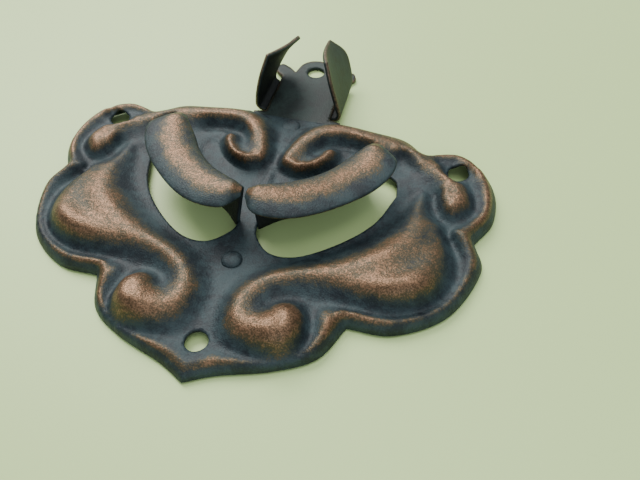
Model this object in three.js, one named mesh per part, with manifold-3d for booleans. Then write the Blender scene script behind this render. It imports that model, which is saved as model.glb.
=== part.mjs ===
// Ornamental stamped wall plate with two raised finger hoods and a two-pronged spring clip.
// Millimetres, +Z out of the wall, +Y towards the clip. The origin is on the wall plane, on the
// centre line, behind the narrow bridge between the two crescent slots.
import * as THREE from 'three';
import { mergeVertices } from 'three/addons/utils/BufferGeometryUtils.js';
import Module from 'manifold-3d';

// ---- driving dimensions ----
const SHEET = 0.8;              // gauge of the stamped face
const STRAP_GAUGE = 0.9;        // gauge of the clip strap and its prongs
const GAP = 0.3;                // clearance kept between pieces that touch
const GROUND = STRAP_GAUGE + GAP + SHEET;   // top of the plate's low ground: it lies on the strap
const GRID = 2.0;               // spacing of the relief's mesh
const GRID_REACH = [48, -36, 33];   // half width, lowest y and highest y of that mesh

const EDGE_RISE = 1.6;          // run of the outer wall up from the back plane
const STRAP_MOUTH = [11, 24];   // half width and lowest y of the stretch where the strap leaves
const MOUTH_FADE = [2, 4];      // run over which the rim's wall ends there, across and along
const MOUTH_INSET = 5;          // counts as this much further in, so that there is no wall

const SCREW_R = 2.1;            // clearance for a No. 6 screw
const LOBE_SCREW = [37.9, 21.3];
const TIP_SCREW = [0, -27.6];
const LUG_SCREW = [0, 50.3];
const RIVET_R = 0.8;
const RIVET_HEAD_R = 2.0;
const RIVET_HEAD_H = 0.9;
const LOWER_RIVET_Y = -10;
const UPPER_RIVET_Y = 29;

// ---- the face's outline: right half, from the bottom tip to the top edge, cusp to cusp ----
const SMALL_LOBE = [[0, -34.8], [5, -32.3], [14, -29.2], [20.5, -25.2], [23.8, -18.4]];
const BIG_LOBE = [[23.8, -18.4], [32, -17.8], [40.5, -11.8], [45, -1], [43.2, 5.4]];
const SCREW_LOBE = [[43.2, 5.4], [46.2, 12], [45.2, 21], [38.5, 27.8], [30.8, 26.4]];
const TOP_EDGE = [[30.8, 26.4], [26, 30.2], [18, 31], [8, 31.8], [0, 31.8]];
const OUTLINE_ARCS = [SMALL_LOBE, BIG_LOBE, SCREW_LOBE, TOP_EDGE];
const ARC_STEPS = 9;

// ---- the struck relief, right half: its crests and valleys as x, y, z over the wall plane. The
// face is the smoothest surface that passes through them all ----
const RELIEF_LINES = [
  // small lobe's rim bead
  [
    [0, -31.9, 2.5], [4.5, -30.7, 2.6], [9.6, -30, 2.7], [14.2, -28.7, 2.8], [18, -26.8, 2.8],
    [20, -24.6, 2.9], [20.8, -22.2, 3.1], [20.4, -19.8, 3.6], [19.4, -18, 3.3],
  ],
  // big lobe's rim bead
  [
    [19.4, -18, 3.3], [22.9, -17.4, 3.4], [26.9, -17.3, 3], [32, -16.3, 2.9], [36, -14.3, 2.8],
    [39, -12, 2.8], [41.5, -8.6, 2.8], [42.6, -4.6, 2.8], [42.5, -0.7, 3], [40.9, 2.6, 3.3],
    [38.8, 5.4, 3.3],
  ],
  // screw lobe's rim bead
  [
    [38.8, 5.4, 3.3], [41.3, 6.9, 3.6], [43.4, 9.1, 3.5], [44.6, 12.5, 3.5], [44.3, 15.8, 3.7],
    [43.2, 18.9, 3.9], [41.3, 22.1, 4.1], [38, 24.7, 3.9], [34.5, 25.3, 3.7], [31.5, 24.6, 3.6],
  ],
  // teardrop's crest, neck and spiral
  [
    [31.9, 13.7, 2.9], [31.7, 9.4, 3.6], [31.2, 4.5, 4.6], [30.3, -0.8, 5.6], [28.5, -4.1, 6],
    [25.7, -5.8, 5.8], [22.2, -7.8, 5.3], [18.2, -9.7, 4.9], [14.1, -11.3, 4.6], [10.1, -13, 4.5],
    [7.5, -14.8, 4.5], [5.5, -16.9, 4.5], [4.4, -19.3, 4.5], [4.6, -22, 4.6], [6.3, -24.3, 4.9],
    [8.7, -25, 5.4],
  ],
  // teardrop's back
  [
    [34, 5.7, 4.3], [35, 0.1, 5.1], [33.5, -5.2, 5.6], [30.1, -8.3, 5.8], [25.2, -9.6, 5.6],
    [20.2, -11.3, 5],
  ],
  // teardrop's shoulder
  [
    [36, 5.4, 3.6], [37.6, -0.7, 4.2], [38, -5.2, 4.3], [37, -9.3, 4.4], [34.5, -11.8, 4.4],
    [30, -13.3, 4.4], [25, -13.2, 4.3], [20, -12.8, 4], [15, -12.9, 3.9], [10.9, -14.2, 4],
    [8.2, -16.4, 4.2], [7.2, -18.9, 4.5], [7.4, -21.2, 4.8],
  ],
  // foot beside the slot
  [
    [30.2, 13.7, 2.2], [28.9, 9.2, 2.2], [27.3, 5.6, 2.2], [24.8, 2.3, 2.2], [21.7, -0.5, 2.2],
    [18.7, -3.2, 2.2], [14.6, -6, 2.2], [10.5, -8, 2.2], [6.4, -10.3, 2.2], [3.4, -12.8, 2.2],
    [1.5, -15.9, 2.2], [0.9, -19.4, 2.2], [1.5, -23, 2.2],
  ],
  // channel from the tooth to the spiral
  [
    [34.5, 14.5, 2.5], [34.6, 11.5, 2.4], [36.3, 8.8, 2.3], [38.3, 5.6, 2.2], [40.1, 2.2, 2],
    [41.1, -1.9, 2], [40.9, -5.5, 2], [39.3, -9.2, 2], [37, -11.7, 2], [34, -13.6, 2],
    [29.9, -14.8, 2.1], [25.8, -15, 2.2], [21.7, -15.1, 2.3], [17.7, -15, 2.4], [14.6, -15.6, 2.4],
    [12.2, -16.4, 2.7], [10.6, -17.4, 3.1], [9.9, -19, 3.7], [9.8, -20.4, 4.5],
  ],
  // valley round the spiral's eye
  [
    [15.7, -17, 2.7], [17.5, -19.2, 2.6], [18.1, -21.8, 2.4], [18.3, -24.4, 2.3], [16.4, -26.9, 2.2],
    [12.4, -28.4, 2.2], [7.9, -28.4, 2.1], [4.2, -27.4, 2.1], [2.3, -25.4, 2.1],
  ],
  // top of the spiral's eye
  [[10, -23.6, 5.9], [11.8, -22.8, 6.2], [13.4, -22.6, 6.1]],
  // shoulder of the eye
  [
    [11.2, -20.6, 5.1], [12, -19, 4.7], [13.6, -18.6, 4.8], [15.8, -19.8, 4.8], [16.6, -22.2, 4.6],
    [16, -24.6, 4.7], [13.6, -26.5, 4.4], [9.8, -26.9, 4.2], [6, -26, 3.8],
  ],
  // valley round the tooth
  [
    [39.4, 19.6, 3], [41.3, 17.2, 2.8], [42.1, 13.8, 2.7], [41.9, 10.8, 2.6], [40.3, 8.9, 2.5],
    [37.3, 8.3, 2.4], [35.4, 9.8, 2.4], [34.3, 12.4, 2.5],
  ],
  // ridge from the scroll to the tooth
  [
    [14.9, 27.3, 4.6], [18.6, 26.6, 4.6], [22.1, 26, 4.5], [25, 25.2, 4.4], [29, 23.2, 4.3],
    [33, 20.7, 4.3], [36.5, 17.8, 4.6], [38.2, 14.5, 5], [38.3, 11.4, 5], [37.8, 9.9, 4.4],
  ],
  // tooth's left side
  [[35.7, 12.6, 4.2], [35.4, 15.4, 4.2]],
  // tooth's right side
  [[40.2, 14, 4.4], [40.3, 11.9, 4.3], [39, 10.1, 4]],
  // seat of the lobe's screw
  [
    [33.6, 23.6, 3.1], [36.6, 24, 3.2], [35, 21.3, 3.2], [36.2, 19.3, 3.2], [38.4, 18.6, 3.1],
    [40.2, 19.6, 3.1], [40.8, 21.3, 3.2], [39.6, 23.6, 3.2],
  ],
  // slope down to the slot's end
  [[25.9, 23.7, 2.9], [28.4, 21.2, 2.9], [31, 18.3, 3.2], [33, 16.5, 3]],
  // foot at the slot's end
  [[27.9, 18, 2.5], [30.4, 15.9, 2.6], [28.2, 14.7, 2.3]],
  // scroll's crest
  [
    [14.9, 27.3, 4.6], [11.7, 27.5, 4.6], [8.7, 26.5, 4.6], [6.6, 24.6, 4.6], [5.1, 22.3, 4.5],
    [4.1, 19.5, 4.5], [3.5, 17, 4.4], [4.4, 15, 4.4], [6.9, 14.5, 4.4], [9.4, 16.3, 4.4],
    [11.1, 18.9, 4.2], [11.5, 21.1, 3.8],
  ],
  // scroll's hollow
  [
    [18.2, 24.3, 2.2], [15, 24.6, 2.2], [12.2, 24.8, 2.2], [10, 24, 2.3], [8.6, 22.6, 2.5],
    [7.9, 21, 2.8], [7.8, 19.4, 3.2],
  ],
  // ground outside the curl
  [
    [17.4, 22.4, 2.1], [13.8, 22.9, 2.2], [13.1, 19.9, 2.2], [11.3, 16.8, 2.2], [8.5, 14.5, 2.2],
    [4.9, 13.5, 2.2], [1.9, 14.8, 2.2],
  ],
  // edge of the middle channel
  [[10.1, 32, 2.1], [6.9, 31.2, 2.1], [4.1, 29, 2.1], [2.2, 26, 2.05], [1.3, 23.5, 2], [0.7, 20, 2]],
  // middle line above the bridge
  [[0, 31.8, 2], [0, 15, 2], [0, 4, 2], [0, -4, 2], [0, -13, 2.1]],
  // middle line below the bridge
  [[0, -13, 2.1], [0, -19, 2.1], [0, -25, 2], [0, -29.8, 2]],
];
const LINE_STEP = 1.9;          // spacing of the points taken from each line
const LINE_NEAREST = 0.7;       // points closer than this to another are left out
const STIFFNESS = 0.02;         // how far the surface may leave a point to stay smooth

// ---- the crescent slot and the hood that is lanced up out of it, right half ----
const SLOT_LOW_EDGE = [[1.7, -0.4], [2.6, -3.6], [6.4, -7], [12, -6.4], [19, -1.2], [24, 5], [26.8, 13]];
const SLOT_OUTER_END = [[25.6, 17.2], [22, 19]];
const SLOT_STEPS = [18, 14];
const HOOD_ROOT = [[1.7, -0.4], [4.8, 2.6], [9, 5.4], [13, 9.6], [16, 13.8], [18, 17.8]];
const HOOD_BACK = [
  [0.8, 1, 9.5], [4.8, 3, 9.2], [9.2, 5.8, 8.5], [13.4, 10, 7.8], [16.4, 14.4, 7.6], [19.8, 18.8, 8.2],
];
const HOOD_FRONT = [
  [0.6, -0.8, 9.6], [3.4, -4.4, 9.8], [10, -3.8, 9.6], [17, 0.8, 9.1], [23.4, 7.6, 8.9],
  [25.8, 14.2, 9.2], [22.2, 19, 8.6],
];
const BACK_RISE = 2.4;          // how steeply the crown leaves the root
const FRONT_RISE = 1.9;         // and how steeply it comes down to the free edge
const FRONT_DRAW = 0.3;         // share of the width over which it does
const FULL_CHORD = 5.0;         // where the hood is narrower than this its crown is lower
const HOOD_RISER = 0.3;         // share of the section that is the upright root
const HOOD_STEPS = [20, 10];

// ---- clip strap: right half of its outline, from the tail's foot to the end lug ----
const TAIL_PAD = [[0, -13], [2.6, -12.2], [3.1, -10], [2.4, -7.8]];
const TAIL = [[1.2, -5.6], [1.2, 7], [3.4, 16], [8.6, 27]];
const STRAP_SIDE_X = 7.6;       // where the prongs bend up
const SHOULDER = [[10.3, 30.5], [10.2, 33.2], [STRAP_SIDE_X, 33.7]];
const SIDE_EAR = [[STRAP_SIDE_X, 47.4], [8.4, 47.9], [10, 49.8], [9, 51.9], [6.8, 51]];
const END_LUG = [[4.9, 49.4], [4, 52.8], [2.2, 54.5], [0, 55]];

// ---- prong: upright leaf along y, leaning inwards. Rows run from its root to its top edge ----
const PRONG_FOOT = STRAP_SIDE_X + GAP;
const PRONG_BEND = 1.9;         // radius of the bend at its root
const PRONG_NEAR = [[34.4, 0], [33.8, 5], [34, 10], [35.6, 14.2]];       // y, z along the near edge
const PRONG_FAR = [[45.4, 0], [49.4, 3.4], [51.6, 6.4], [49.6, 10.2]];   // y, z along the far edge
const PRONG_LEAN_NEAR = 0.062;  // inward lean at the near edge: millimetres per z^1.5
const PRONG_LEAN_FAR = 0.19;    // and at the far edge
const PRONG_STEPS = [10, 8];

const CUT_LOW = -1;             // cutting tools run from here to here, clear of the part
const CUT_HIGH = 12;
const ROUND_SEGMENTS = 20;      // of holes and rivets
const DOME_STEPS = 5;           // of a rivet's head
const STRAP_CURVE_STEPS = 8;

const COPPER = new THREE.MeshStandardMaterial({ color: 0x6e4a38, roughness: 0.42, metalness: 0.9 });
const DARK_COPPER = new THREE.MeshStandardMaterial({ color: 0x2f3433, roughness: 0.5, metalness: 0.85 });

const wasm = await Module();
wasm.setup();

// ---- helpers ----
const lerp = THREE.MathUtils.lerp;
const clamp01 = (value) => THREE.MathUtils.clamp(value, 0, 1);

function curve2(points) {
  return new THREE.SplineCurve(points.map(([x, y]) => new THREE.Vector2(x, y)));
}

function curve3(points) {
  return new THREE.CatmullRomCurve3(points.map(([x, y, z]) => new THREE.Vector3(x, y, z)));
}

function solidOf(geometry) {
  const bare = geometry.clone();
  bare.deleteAttribute('normal');
  bare.deleteAttribute('uv');
  const merged = mergeVertices(bare, 1e-5);
  const mesh = new wasm.Mesh({
    numProp: 3,
    vertProperties: new Float32Array(merged.attributes.position.array),
    triVerts: new Uint32Array(merged.index.array),
  });
  return new wasm.Manifold(mesh);
}

function geometryOf(solid) {
  const mesh = solid.getMesh();
  const geometry = new THREE.BufferGeometry();
  geometry.setAttribute('position', new THREE.BufferAttribute(new Float32Array(mesh.vertProperties), 3));
  geometry.setIndex(new THREE.BufferAttribute(new Uint32Array(mesh.triVerts), 1));
  geometry.computeVertexNormals();
  return geometry;
}

function prism(points, low, high) {
  const shape = new THREE.Shape(points.map(([x, y]) => new THREE.Vector2(x, y)));
  const geometry = new THREE.ExtrudeGeometry(shape, { depth: high - low, bevelEnabled: false });
  return solidOf(geometry.translate(0, 0, low));
}

function post([x, y], radius) {
  const geometry = new THREE.CylinderGeometry(radius, radius, CUT_HIGH - CUT_LOW, ROUND_SEGMENTS);
  return solidOf(geometry.rotateX(Math.PI / 2).translate(x, y, (CUT_LOW + CUT_HIGH) / 2));
}

// Closes a half outline, given from its bottom to its top on the right, with its mirror image.
function mirrored(half) {
  const left = half.filter(([x]) => x > 1e-6).map(([x, y]) => [-x, y]).reverse();
  return [...half, ...left];
}

// A closed body between two grids of points: front faces out, back is its other side.
function sheetSolid(front, back) {
  const rows = front.length;
  const cols = front[0].length;
  const positions = [...front.flat(2), ...back.flat(2)];
  const at = (side, i, j) => side * rows * cols + i * cols + j;
  const index = [];
  const quad = (a, b, c, d) => index.push(a, b, c, a, c, d);
  for (let i = 0; i < rows - 1; i += 1) {
    for (let j = 0; j < cols - 1; j += 1) {
      quad(at(0, i, j), at(0, i, j + 1), at(0, i + 1, j + 1), at(0, i + 1, j));
      quad(at(1, i, j), at(1, i + 1, j), at(1, i + 1, j + 1), at(1, i, j + 1));
    }
  }
  for (let j = 0; j < cols - 1; j += 1) {
    quad(at(0, 0, j), at(1, 0, j), at(1, 0, j + 1), at(0, 0, j + 1));
    quad(at(0, rows - 1, j), at(0, rows - 1, j + 1), at(1, rows - 1, j + 1), at(1, rows - 1, j));
  }
  for (let i = 0; i < rows - 1; i += 1) {
    quad(at(0, i, 0), at(0, i + 1, 0), at(1, i + 1, 0), at(1, i, 0));
    quad(at(0, i, cols - 1), at(1, i, cols - 1), at(1, i + 1, cols - 1), at(0, i + 1, cols - 1));
  }
  const geometry = new THREE.BufferGeometry();
  geometry.setAttribute('position', new THREE.Float32BufferAttribute(positions, 3));
  geometry.setIndex(index);
  return solidOf(geometry);
}

// A curved sheet of even gauge: surface(u, v) gives its middle, with u x v pointing to its front.
function curvedSheet(surface, [rows, cols], gauge) {
  const step = 1e-3;
  const side = (sign) => Array.from({ length: rows + 1 }, (_, i) => (
    Array.from({ length: cols + 1 }, (_, j) => {
      const u = i / rows;
      const v = j / cols;
      const du = surface(Math.min(u + step, 1), v).sub(surface(Math.max(u - step, 0), v));
      const dv = surface(u, Math.min(v + step, 1)).sub(surface(u, Math.max(v - step, 0)));
      const normal = du.cross(dv).normalize().multiplyScalar(sign * gauge / 2);
      return surface(u, v).add(normal).toArray();
    })
  ));
  return sheetSolid(side(-1), side(1));
}

// ---- relief of the face ----
function outlinePoints() {
  const half = OUTLINE_ARCS.flatMap((arc) => curve2(arc).getPoints(ARC_STEPS).slice(0, -1));
  const points = half.map((p) => [p.x, p.y]);
  points.push([0, TOP_EDGE.at(-1)[1]]);
  return mirrored(points);
}

const OUTLINE = outlinePoints();

// Distance from a point to the outline, less than zero outside it.
function inset(x, y) {
  let nearest = Infinity;
  let inside = false;
  OUTLINE.forEach(([ax, ay], i) => {
    const [bx, by] = OUTLINE[(i + 1) % OUTLINE.length];
    const share = clamp01(((x - ax) * (bx - ax) + (y - ay) * (by - ay)) / ((bx - ax) ** 2 + (by - ay) ** 2));
    nearest = Math.min(nearest, Math.hypot(x - lerp(ax, bx, share), y - lerp(ay, by, share)));
    if ((ay > y) !== (by > y) && x < ((bx - ax) * (y - ay)) / (by - ay) + ax) inside = !inside;
  });
  return inside ? nearest : -nearest;
}

// The rim has no wall where the strap passes under it.
function overStrap(x, y) {
  const across = clamp01((STRAP_MOUTH[0] - Math.abs(x)) / MOUTH_FADE[0] + 1);
  return across * clamp01((y - STRAP_MOUTH[1]) / MOUTH_FADE[1]);
}

function reliefControls() {
  const held = RELIEF_LINES.flatMap((line) => {
    const curve = curve3(line);
    return curve.getPoints(Math.ceil(curve.getLength() / LINE_STEP)).map((p) => p.toArray());
  });
  const edges = [SLOT_LOW_EDGE, HOOD_ROOT].flatMap((edge) => edge.map(([x, y]) => [x, y, GROUND]));
  const border = OUTLINE.filter(([x], i) => x >= 0 && i % 2 === 0).map(([x, y]) => [x, y, GROUND]);
  const kept = [];
  [...held, ...edges, ...border].forEach((point) => {
    const clear = kept.every(([x, y]) => Math.hypot(x - point[0], y - point[1]) > LINE_NEAREST);
    if (clear) kept.push(point);
  });
  return kept;
}

// Solves a square system whose rows end in their right-hand side.
function solve(system) {
  const rows = system.map((row) => Float64Array.from(row));
  const count = rows.length;
  for (let i = 0; i < count; i += 1) {
    let best = i;
    for (let k = i + 1; k < count; k += 1) if (Math.abs(rows[k][i]) > Math.abs(rows[best][i])) best = k;
    [rows[i], rows[best]] = [rows[best], rows[i]];
    for (let k = i + 1; k < count; k += 1) {
      const share = rows[k][i] / rows[i][i];
      for (let j = i; j <= count; j += 1) rows[k][j] -= share * rows[i][j];
    }
  }
  const answer = new Float64Array(count);
  for (let i = count - 1; i >= 0; i -= 1) {
    let rest = rows[i][count];
    for (let j = i + 1; j < count; j += 1) rest -= rows[i][j] * answer[j];
    answer[i] = rest / rows[i][i];
  }
  return answer;
}

// The smoothest surface through the controls and their mirror images, for x from nought up.
function smoothestSurface(controls) {
  const bowl = (dx, dy) => {
    const square = dx * dx + dy * dy;
    return square > 0 ? (square * Math.log(square)) / 2 : 0;
  };
  const pull = (x, y, [cx, cy]) => bowl(x - cx, y - cy) + bowl(x + cx, y - cy);
  const system = controls.map(([x, y, z], i) => [
    ...controls.map((other, j) => pull(x, y, other) + (i === j ? STIFFNESS : 0)), 1, y, z,
  ]);
  system.push([...controls.map(() => 1), 0, 0, 0]);
  system.push([...controls.map(([, y]) => y), 0, 0, 0]);
  const weights = solve(system);
  const level = weights.at(-2);
  const slope = weights.at(-1);
  return (x, y) => controls.reduce((sum, c, i) => sum + weights[i] * pull(x, y, c), level + slope * y);
}

const struckHeight = smoothestSurface(reliefControls());

function faceTop(x, y) {
  const edge = inset(x, y) + overStrap(x, y) * MOUTH_INSET;
  const wall = clamp01(edge / EDGE_RISE);
  return wall > 0 ? lerp(SHEET, Math.max(struckHeight(Math.abs(x), y), GROUND), wall) : SHEET;
}

function faceSlab() {
  const [halfWidth, lowest, highest] = GRID_REACH;
  const cols = Math.ceil((2 * halfWidth) / GRID);
  const rows = Math.ceil((highest - lowest) / GRID);
  const grid = (height) => Array.from({ length: rows + 1 }, (_, i) => (
    Array.from({ length: cols + 1 }, (_, j) => {
      const x = lerp(-halfWidth, halfWidth, j / cols);
      const y = lerp(lowest, highest, i / rows);
      return [x, y, height(faceTop(x, y))];
    })
  ));
  return sheetSolid(grid((z) => z), grid((z) => z - SHEET));
}

function slotOutline() {
  const low = curve2(SLOT_LOW_EDGE).getPoints(SLOT_STEPS[0]).map((p) => [p.x, p.y]);
  const high = curve2(HOOD_ROOT).getPoints(SLOT_STEPS[1]).map((p) => [p.x, p.y]).reverse();
  return [...low, ...SLOT_OUTER_END, ...high.slice(0, -1)];
}

function facePlate() {
  const slot = prism(slotOutline(), CUT_LOW, CUT_HIGH);
  return faceSlab()
    .intersect(prism(OUTLINE, CUT_LOW, CUT_HIGH))
    .subtract(slot)
    .subtract(slot.mirror([1, 0, 0]))
    .subtract(post(LOBE_SCREW, SCREW_R))
    .subtract(post([-LOBE_SCREW[0], LOBE_SCREW[1]], SCREW_R))
    .subtract(post(TIP_SCREW, SCREW_R))
    .subtract(post([0, LOWER_RIVET_Y], RIVET_R + GAP))
    .subtract(post([0, UPPER_RIVET_Y], RIVET_R + GAP));
}

// ---- hood: an upright root, then a crown that leans out over the slot ----
function hood() {
  const root = curve2(HOOD_ROOT);
  const back = curve3(HOOD_BACK);
  const front = curve3(HOOD_FRONT);
  const stand = SHEET / 2 + GAP;
  const surface = (u, v) => {
    const foot = root.getPoint(u);
    const across = root.getTangent(u);
    const start = new THREE.Vector3(foot.x + across.y * stand, foot.y - across.x * stand, GROUND - SHEET);
    if (v < HOOD_RISER) return start.lerp(back.getPoint(u), v / HOOD_RISER);
    const rear = back.getPoint(u);
    const free = front.getPoint(u);
    const fullness = Math.min(rear.distanceTo(free) / FULL_CHORD, 1);
    const rearPull = rear.clone().setZ(rear.z + fullness * BACK_RISE);
    const freePull = free.clone().lerp(rear, FRONT_DRAW);
    freePull.z += fullness * FRONT_RISE;
    const crown = new THREE.CubicBezierCurve3(rear, rearPull, freePull, free);
    return crown.getPoint((v - HOOD_RISER) / (1 - HOOD_RISER));
  };
  return curvedSheet(surface, HOOD_STEPS, SHEET);
}

// ---- clip strap ----
function clipStrap() {
  const smooth = (points) => curve2(points).getPoints(STRAP_CURVE_STEPS).map((p) => [p.x, p.y]);
  const half = [
    ...smooth(TAIL_PAD),
    ...smooth(TAIL),
    ...SHOULDER,
    ...smooth(SIDE_EAR),
    ...smooth(END_LUG),
  ];
  return prism(mirrored(half), 0, STRAP_GAUGE)
    .subtract(post(LUG_SCREW, SCREW_R))
    .subtract(post([0, LOWER_RIVET_Y], RIVET_R + GAP))
    .subtract(post([0, UPPER_RIVET_Y], RIVET_R + GAP));
}

function prong() {
  const near = curve2(PRONG_NEAR);
  const far = curve2(PRONG_FAR);
  const surface = (u, v) => {
    const a = near.getPoint(v);
    const b = far.getPoint(v);
    const y = lerp(a.x, b.x, u);
    const z = Math.max(lerp(a.y, b.y, u), 0);
    const lean = lerp(PRONG_LEAN_NEAR, PRONG_LEAN_FAR, u) * z ** 1.5;
    const bend = PRONG_BEND * Math.sqrt(1 - (1 - clamp01(z / PRONG_BEND)) ** 2);
    return new THREE.Vector3(PRONG_FOOT + bend - lean, y, STRAP_GAUGE / 2 + z);
  };
  return curvedSheet(surface, PRONG_STEPS, STRAP_GAUGE);
}

// ---- rivets: a low dome head on the face, the shank closed flush with the strap's back ----
function rivet(y, seat) {
  const profile = [new THREE.Vector2(0, 0), new THREE.Vector2(RIVET_R, 0), new THREE.Vector2(RIVET_R, seat)];
  for (let i = 0; i <= DOME_STEPS; i += 1) {
    const angle = (i / DOME_STEPS) * (Math.PI / 2);
    profile.push(new THREE.Vector2(RIVET_HEAD_R * Math.cos(angle), seat + RIVET_HEAD_H * Math.sin(angle)));
  }
  profile.at(-1).x = 0;
  const geometry = new THREE.LatheGeometry(profile, ROUND_SEGMENTS);
  return solidOf(geometry.rotateX(Math.PI / 2).translate(0, y, 0));
}

// ---- the assembly ----
const group = new THREE.Group();

function place(name, solid, material) {
  const mesh = new THREE.Mesh(geometryOf(solid), material);
  mesh.name = name;
  group.add(mesh);
}

const rightHood = hood();
const rightProng = prong();
place('face_plate', facePlate(), COPPER);
place('right_hood', rightHood, COPPER);
place('left_hood', rightHood.mirror([1, 0, 0]), COPPER);
place('clip_strap', clipStrap(), DARK_COPPER);
place('right_prong', rightProng, DARK_COPPER);
place('left_prong', rightProng.mirror([1, 0, 0]), DARK_COPPER);
place('lower_rivet', rivet(LOWER_RIVET_Y, GROUND + GAP), COPPER);
place('upper_rivet', rivet(UPPER_RIVET_Y, GROUND + GAP), COPPER);

export default group;
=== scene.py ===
import math

import bpy
import numpy as np
from mathutils import Matrix, Quaternion, Vector
from mathutils.geometry import delaunay_2d_cdt


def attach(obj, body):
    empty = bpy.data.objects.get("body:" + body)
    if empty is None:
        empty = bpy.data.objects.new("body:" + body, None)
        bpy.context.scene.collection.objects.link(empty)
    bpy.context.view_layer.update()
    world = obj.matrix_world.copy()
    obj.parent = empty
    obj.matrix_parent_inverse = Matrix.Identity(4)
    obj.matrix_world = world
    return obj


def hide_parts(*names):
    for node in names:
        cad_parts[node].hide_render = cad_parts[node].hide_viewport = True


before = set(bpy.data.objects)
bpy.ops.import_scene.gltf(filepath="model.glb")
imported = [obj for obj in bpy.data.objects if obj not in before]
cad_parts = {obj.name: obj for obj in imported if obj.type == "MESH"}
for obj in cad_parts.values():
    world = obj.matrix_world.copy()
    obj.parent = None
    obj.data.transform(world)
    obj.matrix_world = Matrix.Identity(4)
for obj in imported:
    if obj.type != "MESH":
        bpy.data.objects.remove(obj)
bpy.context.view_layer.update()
MM = 0.001

# ---------------------------------------------------------------------------------------------
# Camera: looks down on the plate from in front and a little to the right, with a slight roll.
# ---------------------------------------------------------------------------------------------
camera_data = bpy.data.cameras.new("camera")
camera_data.lens = 34.875
camera_data.sensor_width = 36
camera = bpy.data.objects.new("camera", camera_data)
bpy.context.scene.collection.objects.link(camera)
camera.location = (0.03548, -0.07264, 0.09313)
camera_aim = Vector((0.01424, 0, 0))
camera_roll = Quaternion((0, 0, 1), math.radians(-2.0))
camera.rotation_mode = "QUATERNION"
camera.rotation_quaternion = (camera_aim - camera.location).to_track_quat("-Z", "Y") @ camera_roll
camera_data.clip_start = 0.005
bpy.context.scene.camera = camera

# ---------------------------------------------------------------------------------------------
# Floor and light: a plain pale board, a broad soft window behind on the left, a dim cool fill
# in front, and an even pale room.
# ---------------------------------------------------------------------------------------------
floor_mesh = bpy.data.meshes.new("floor")
FLOOR_HALF = 1.5
FLOOR_DROP = 0.00005
floor_mesh.from_pydata(
    [(-FLOOR_HALF, -FLOOR_HALF, -FLOOR_DROP), (FLOOR_HALF, -FLOOR_HALF, -FLOOR_DROP),
     (FLOOR_HALF, FLOOR_HALF, -FLOOR_DROP), (-FLOOR_HALF, FLOOR_HALF, -FLOOR_DROP)],
    [], [(0, 1, 2, 3)])
floor = bpy.data.objects.new("floor", floor_mesh)
bpy.context.scene.collection.objects.link(floor)
floor_material = bpy.data.materials.new("pale_board")
floor_material.use_nodes = True
floor_shader = floor_material.node_tree.nodes["Principled BSDF"]
floor_shader.inputs["Base Color"].default_value = (0.55, 0.72, 0.30, 1)
floor_shader.inputs["Roughness"].default_value = 0.45
floor_mesh.materials.append(floor_material)

world = bpy.data.worlds.new("room")
bpy.context.scene.world = world
world.use_nodes = True
room = world.node_tree.nodes["Background"]
room.inputs["Color"].default_value = (0.86, 0.93, 1.0, 1)
room.inputs["Strength"].default_value = 0.48


def soft_light(name, place, aim, size, watts, colour):
    data = bpy.data.lights.new(name, "AREA")
    data.shape = "RECTANGLE"
    data.size, data.size_y = size
    data.energy = watts
    data.color = colour
    light = bpy.data.objects.new(name, data)
    light.location = place
    light.rotation_mode = "QUATERNION"
    light.rotation_quaternion = (Vector(aim) - Vector(place)).to_track_quat("-Z", "Y")
    bpy.context.scene.collection.objects.link(light)


soft_light("window", (-0.34, 0.42, 0.52), (0, 0, 0), (0.5, 0.35), 7.0, (1.0, 0.98, 0.95))
soft_light("ceiling", (0.10, 0.10, 0.75), (0, 0, 0), (0.6, 0.6), 3.0, (1.0, 1.0, 1.0))
soft_light("fill", (0.25, -0.55, 0.35), (0, 0, 0), (0.4, 0.3), 1.0, (0.85, 0.93, 1.0))

# ---------------------------------------------------------------------------------------------
# Face plate: one sheet of copper about 0.8 mm thick, blanked to a scrolled outline, pierced
# with two crescent slots and three screw holes, and struck in a die so that scrolls, lobes and
# a rim bead stand up from a low ground. Oxidised blue-black, then rubbed bright on the crests.
# ---------------------------------------------------------------------------------------------
SHEET = 0.8
GROUND = 2.0                    # top of the low ground over the wall plane
EDGE_Z = 0.45                   # top of the sheet at its cut edge
RIM_Z = 1.6                     # where the border starts to turn down to that edge
EDGE_RUN = 2.3                  # width of that turn
MESH_STEP = 0.42                # spacing of the fine mesh
SCREW_R = 2.1
LOBE_SCREW = (37.9, 21.3)
TIP_SCREW = (0, -27.6)
RIVET_HOLE_R = 1.1
RIVET_HOLE_SIDES = 24
LOWER_RIVET_Y = -10
UPPER_RIVET_Y = 29

SMALL_LOBE = [(0, -34.8), (5, -32.3), (14, -29.2), (20.5, -25.2), (23.8, -18.4)]
BIG_LOBE = [(23.8, -18.4), (32, -17.8), (40.5, -11.8), (45, -1), (43.2, 5.4)]
SCREW_LOBE = [(43.2, 5.4), (46.2, 12), (45.2, 21), (38.5, 27.8), (30.8, 26.4)]
TOP_EDGE = [(30.8, 26.4), (26, 30.2), (18, 31), (8, 31.8), (0, 31.8)]
SLOT_LOW_EDGE = [(1.7, -0.4), (2.6, -3.6), (6.4, -7), (12, -6.4), (19, -1.2), (24, 5), (26.8, 13)]
SLOT_OUTER_END = [(26.8, 13), (25.8, 17), (22, 19), (18, 17.8)]
HOOD_ROOT = [(1.7, -0.4), (4.8, 2.6), (9, 5.4), (13, 9.6), (16, 13.8), (18, 17.8)]

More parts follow.
